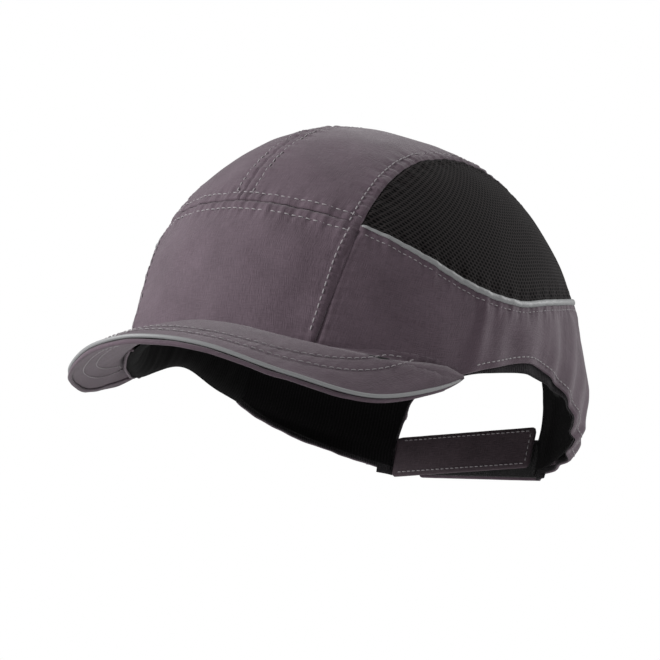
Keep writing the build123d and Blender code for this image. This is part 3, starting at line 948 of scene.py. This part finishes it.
def brim_under(turns):
    """Under cover of the brim: its outer face looks down, its thickness goes up."""
    slim = brim_slim(turns)
    profile = [(0.0, -1.2, -3.8)] + [(k, 0.0, -3.8) for k in np.linspace(0, 0.92, 24)]
    profile += [(1.0, -2.2, -4.0), (1.0, -1.2, -4.1), (1.0, -0.4, -3.8), (1.0, 0.1, -3.2), (1.0, 0.2, -2.4),
                (1.0, 0.0, -1.7)]
    grid = brim_rings(turns, [(at, beyond, lift * slim, 0.0) for at, beyond, lift in profile])
    grid[..., 2] += 0.3 * noise_at(grid, 9.0, 6.0) * slim[:, None]
    faces = grid_faces(*grid.shape[:2])
    corner = grid.reshape(-1, 3)[faces[40]]
    if np.cross(corner[1] - corner[0], corner[3] - corner[0])[2] > 0:
        faces = faces[:, ::-1]
    piece = new_object("brim_under_cloth", grid, faces, grid_uvs(grid), CLOTH, "cap")
    add_thickness(piece, 0.6)
    declare_sheet(grid)
    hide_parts("brim_under_cover")


def brim_board():
    turns = np.linspace(-BOARD_END, BOARD_END, 120)
    over, under = -1.3, -2.9 * brim_slim(turns)
    rings = brim_rings(turns, [(0.0, 0.0, over, 0.8), (0.5, 0.0, over, 0.8), (1.0, -2.8, over, 0.8),
                               (1.0, -2.8, under, 0.0), (0.5, 0.0, under, 0.0), (0.0, 0.0, under, 0.0)])
    closed_rings("brim_board_plastic", rings, BOARD, "cap", "brim_board")


def brim_bead():
    turns = np.linspace(-BRIM_END + 1.5, BRIM_END - 1.5, 300)
    size = 0.5 + 0.5 * ramp_up(-np.abs(turns), -85, -74) ** 0.7
    edge, _ = brim_point(turns, np.ones_like(turns), -0.6, -0.1)
    up = brim_normal(turns, np.full_like(turns, 0.9))
    reflective_bead("brim_piping_bead", "brim_piping", edge, up, oval(1.6, 1.7, 0.0), size)


def brim_stitching():
    for row in BRIM_ROWS:
        turns = np.linspace(-row[1], row[1], 900)
        share = row_share(turns, row)
        stitch(brim_point(turns, share)[0], (0, -0.2, 1), lift=0.36)
        stitch(brim_point(turns, share, -3.8 * brim_slim(turns), 0.0, 0.0)[0], (0, 0, -1))


def brim():
    turns = np.linspace(-BRIM_END, BRIM_END, 320)
    brim_top(turns)
    brim_under(turns)
    brim_board()
    brim_bead()
    brim_stitching()


# ---------- closure
def band_rings(x_line, y_line, middle_z, width, thick, round_end, climb):
    """Rings round a flat band, which climbs along x; its free end is rounded, its sewn end pressed flat."""
    run = np.concatenate([[0], np.cumsum(np.hypot(np.diff(x_line), np.diff(y_line)))])
    left = run[-1] - run
    half = np.full_like(run, width / 2)
    radius = 2.2
    near = left < radius
    half[near] -= radius - np.sqrt(np.clip(radius**2 - (radius - left[near]) ** 2, 0, None))
    tangent = np.stack([np.gradient(x_line), np.gradient(y_line)], -1)
    tangent /= np.linalg.norm(tangent, axis=-1, keepdims=True)
    normal = np.stack([-tangent[:, 1], tangent[:, 0]], -1) * round_end
    a = np.arange(28) * 2 * np.pi / 28
    across = np.sign(np.cos(a)) * np.abs(np.cos(a)) ** 0.25
    through_it = np.sign(np.sin(a)) * np.abs(np.sin(a)) ** 0.6
    sewn = ramp_up(np.abs(x_line), 39.0, 41.5)
    rise = middle_z + climb * (x_line - STRAP_ROOT) + 2.2 * sewn
    z = rise[:, None] + across[None] * (half - 2.6 * sewn)[:, None]
    depth = through_it[None] * (thick / 2 * np.clip(left / 0.8, 0.35, 1) * (1 - 0.6 * sewn))[:, None]
    x = x_line[:, None] + normal[:, :1] * depth
    y = y_line[:, None] + normal[:, 1:] * depth
    return np.stack([x, y, z], -1)


def band(name, x_line, y_line, middle_z, width, thick, side, material, replaced, body=None, climb=0.0):
    rings = band_rings(x_line, y_line, middle_z, width, thick, side, climb)
    rings[..., 1] += 0.15 * noise_at(rings, 7.0, 2.0)
    return closed_rings(name, rings, material, body, replaced)


def strap_z(x):
    """Height of the strap's middle, which climbs from its sewn end."""
    return STRAP_Z + STRAP_CLIMB * (x - STRAP_ROOT)


def flat_stitch(x, y, z, up, body, count):
    """Row of stitches on the flat of a band; x or z may be a single value."""
    line = np.stack([np.broadcast_to(value, count) for value in (x, y, z)], -1)
    stitch(line, (0, up, 0), body, 2.6, 0.26)


def closure():
    """Strap from the wearer's right and tab from the left; their roots curve round inside the tails."""
    root = -STRAP_ROOT
    tucked = np.linspace(50.5, root + 1.5, 14)
    tail_y = CROWN_SHIFT + HALF_LENGTH * np.sqrt(1 - (tucked / HALF_WIDTH) ** 2) - 1.3
    tail_y += flare(np.stack([tucked, tail_y, np.full(14, -12.0)], -1))
    strap_x = np.concatenate([-tucked, np.linspace(-root + 1.0, 33.0, 90)])
    strap_y = np.concatenate([tail_y, np.full(90, STRAP_Y)])
    # The strap takes the cap cloth with painted shade.
    strap = band("strap_cloth", strap_x, strap_y, STRAP_Z, STRAP_WIDTH, 1.6, 1, CLOTH_PAINTED_SHADE,
                 "closure_strap", climb=STRAP_CLIMB)
    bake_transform(strap)

    tab_x = np.concatenate([tucked, np.linspace(root - 1.0, -27.0, 84)])
    tab_y = np.concatenate([tail_y + 1.4 * (tucked < 42), np.full(84, TAB_Y)])
    tab = band("tab_cloth", tab_x, tab_y, TAB_Z, STRAP_WIDTH, 1.5, -1, CLOTH, "closure_tab")
    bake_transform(tab)

    band("hook_field", np.linspace(-23.0, 31.0, 80), np.full(80, STRAP_Y + 1.3), STRAP_Z, 15.0, 0.9, 1, HOOK,
         "strap_hook_patch", "strap", STRAP_CLIMB)
    band("loop_field", np.linspace(37.0, -25.0, 80), np.full(80, TAB_Y - 1.2), TAB_Z, 17.0, 0.9, -1, LOOP,
         "tab_loop_patch", "tab")


def closure_stitching():
    across = np.linspace(-7.0, 7.0, 14)
    inner, outer = STRAP_Y - 0.85, STRAP_Y + 0.85
    x = np.linspace(-36, 30.5, 60)
    for off in (-7.6, 7.6):
        flat_stitch(x, inner, strap_z(x) + off, -1, "strap", 60)
        flat_stitch(x, outer, strap_z(x) + off, 1, "strap", 60)
    flat_stitch(31.0, inner, across + strap_z(31.0), -1, "strap", 14)
    for off in (-7.5, 7.5):
        flat_stitch(np.linspace(35, -25, 60), TAB_Y + 0.8, TAB_Z + off, 1, "tab", 60)
    for x in (-25.0, 35.0):
        flat_stitch(x, TAB_Y + 0.8, TAB_Z + across * 6.5 / 7.0, 1, "tab", 14)


# ---------- stitching of the cap
def on_soft(line, raised=0.0):
    return line + outward(line) * (relief(line) + raised)[:, None]


def stitching():
    for x in (-4.0, 4.0):
        stitch(on_soft(lengthwise(lambda z, x=x: 0 * z + x, 400)[8:]))
    for rise in (-4.0, 4.0):
        stitch(on_soft(front_seam(300, rise, grow=-0.5)))
    for side in (1, -1):
        stitch(on_soft(strip_line(side, 400, grow=-3.8)))
        stitch(on_soft(upright_front(side, 200, -2.4, -30.0, 16.0), 0.5))
        start = mesh_corner(side)[0] + 1.5
        under_piping = wall_line(PIPING_SEAM, start, 178, 500, -3.4, side=side)
        stitch(on_soft(under_piping), pitch=2.4, radius=0.22, lift=0.06)
        stitch(on_soft(wall_line(HEM, 70, tail_turn(side) - 2.0, 300, 2.8, side=side)), pitch=2.6)
        stitch(on_soft(arch_line(side, 120, 0.0, 2.8)[8:] * (side, 1, 1)), pitch=2.6)


# ---------- studio
def area_light(name, place, size, power):
    """Lamp aimed at the cap's middle."""
    light = bpy.data.lights.new(name, "AREA")
    light.shape = "RECTANGLE"
    light.size, light.size_y = size
    light.energy = power
    lamp = bpy.data.objects.new(name, light)
    lamp.location = place
    lamp.rotation_euler = (Vector((0, 0, 0.03)) - place).to_track_quat("-Z", "Y").to_euler()
    bpy.context.collection.objects.link(lamp)


def add_camera(toward):
    data = bpy.data.cameras.new("camera")
    data.sensor_width = 36.0
    data.lens = CAMERA_LENS
    data.shift_x, data.shift_y = CAMERA_SHIFT
    camera = bpy.data.objects.new("camera", data)
    camera.location = toward * CAMERA_DISTANCE
    camera.rotation_euler = (-toward).to_track_quat("-Z", "Y").to_euler()
    bpy.context.collection.objects.link(camera)
    bpy.context.scene.camera = camera


def add_world():
    """White background for the camera, a dimmer sky for everything that it lights."""
    world = bpy.data.worlds.new("studio")
    world.use_nodes = True
    bpy.context.scene.world = world
    tree = world.node_tree
    background = tree.nodes["Background"]
    path = tree.nodes.new("ShaderNodeLightPath")
    strength = tree.nodes.new("ShaderNodeMapRange")
    strength.inputs["To Min"].default_value = SKY_LIGHT
    strength.inputs["To Max"].default_value = 1.0
    tree.links.new(path.outputs["Is Camera Ray"], strength.inputs["Value"])
    tree.links.new(strength.outputs[0], background.inputs["Strength"])
    background.inputs["Color"].default_value = (1, 1, 1, 1)


def add_floor():
    mesh = bpy.data.meshes.new("floor")
    corners = [(-3, -3), (3, -3), (3, 3), (-3, 3)]
    mesh.from_pydata([(x, y, FLOOR_Z) for x, y in corners], [], [(0, 1, 2, 3)])
    floor = bpy.data.objects.new("floor", mesh)
    bpy.context.collection.objects.link(floor)
    pale = bpy.data.materials.new("pale_floor")
    pale.use_nodes = True
    shader = pale.node_tree.nodes["Principled BSDF"]
    shader.inputs["Base Color"].default_value = (0.85, 0.85, 0.85, 1)
    shader.inputs["Roughness"].default_value = 0.9
    mesh.materials.append(pale)


def studio():
    level = math.cos(CAMERA_ELEVATION)
    toward = Vector((math.sin(CAMERA_AZIMUTH) * level, -math.cos(CAMERA_AZIMUTH) * level,
                     math.sin(CAMERA_ELEVATION)))
    right = Vector((math.cos(CAMERA_AZIMUTH), math.sin(CAMERA_AZIMUTH), 0))
    add_camera(toward)
    add_world()
    bpy.context.scene.view_settings.view_transform = "Standard"
    area_light("key", -right * 1.65 + toward * 0.35 + Vector((0, 0, 0.85)), (0.8, 0.8), 34)
    area_light("rim", right * 1.2 - toward * 0.5 + Vector((0, 0, 0.5)), (0.5, 0.9), 9)
    add_floor()


def carried_over():
    """The CAD shell's shape is right: it keeps it and gets a finish."""
    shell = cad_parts["impact_shell"]
    shell.data.materials.clear()
    shell.data.materials.append(SHELL)


front_panel()
for sign, wearer in SIDES:
    crown_panel(sign, wearer)
    mesh_panel(sign, wearer)
    side_panel(sign, wearer)
    side_piping(sign, wearer)
    bindings(sign, wearer)
    tail_lining(sign, wearer)
arch_ribbon()
seam_tapes()
sweatband()
pads()
brim()
closure()
closure_stitching()
stitching()
for moving in ("cap", "strap", "tab"):
    sew_all(moving, "stitching_" + moving)
carried_over()
studio()
